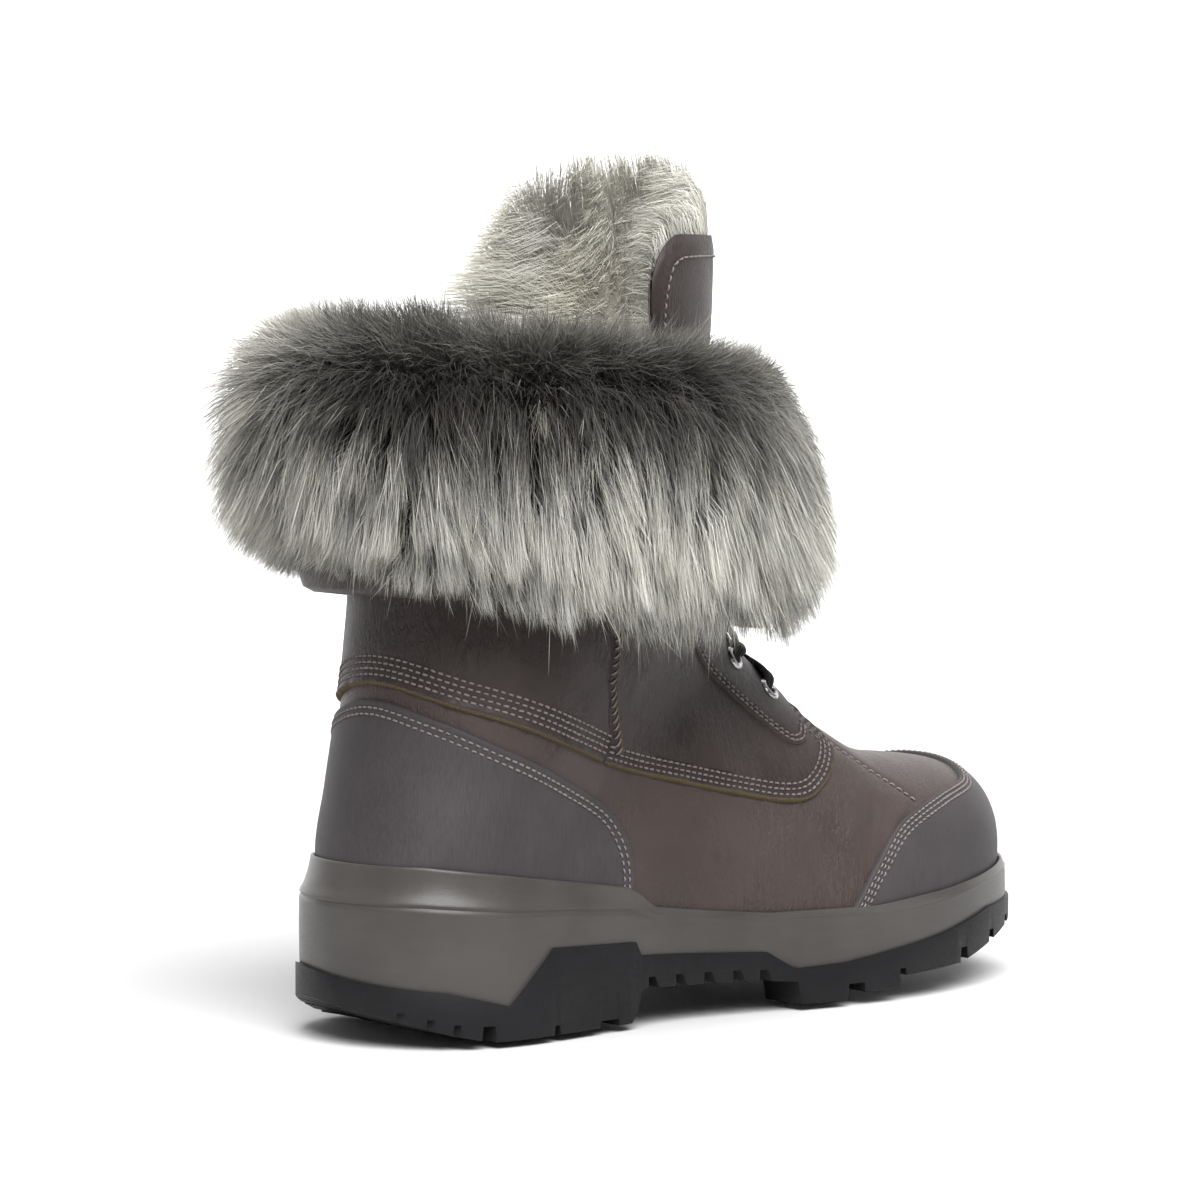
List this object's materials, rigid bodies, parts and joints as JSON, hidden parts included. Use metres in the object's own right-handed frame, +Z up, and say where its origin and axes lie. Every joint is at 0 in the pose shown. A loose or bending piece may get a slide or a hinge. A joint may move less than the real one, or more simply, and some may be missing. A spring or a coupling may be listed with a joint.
{
  "type": "snow boot",
  "caption": "Lace-up winter boot with a hollow fleece-lined leather upper, turned-down fur cuff and lugged rubber sole.",
  "frame": {"origin": "on the ground, under the middle of the whole boot", "axes": "+Z up from the sole, -Y towards the toe, +X towards the inner (medial) side of the right foot"},
  "size_m": [0.1674, 0.316, 0.2614],
  "materials": {
    "outsole": "matte",
    "midsole": "satin",
    "leather": "satin grain",
    "coated_leather": "matte",
    "sheepskin": "long pile",
    "fleece": "short pile",
    "lace": "woven",
    "eyelet": "polished"
  },
  "bodies": {
    "root": {"outsole": "outsole", "midsole": "midsole", "upper": "leather", "heel_counter": "coated_leather", "toe_cap": "coated_leather", "cuff": "sheepskin", "tongue": "sheepskin", "insole": "fleece", "lace": "lace", "eyelet_lateral_1": "eyelet", "eyelet_lateral_2": "eyelet", "eyelet_lateral_3": "eyelet", "eyelet_lateral_4": "eyelet", "eyelet_lateral_5": "eyelet", "eyelet_medial_1": "eyelet", "eyelet_medial_2": "eyelet", "eyelet_medial_3": "eyelet", "eyelet_medial_4": "eyelet", "eyelet_medial_5": "eyelet"}
  },
  "joints": []
}
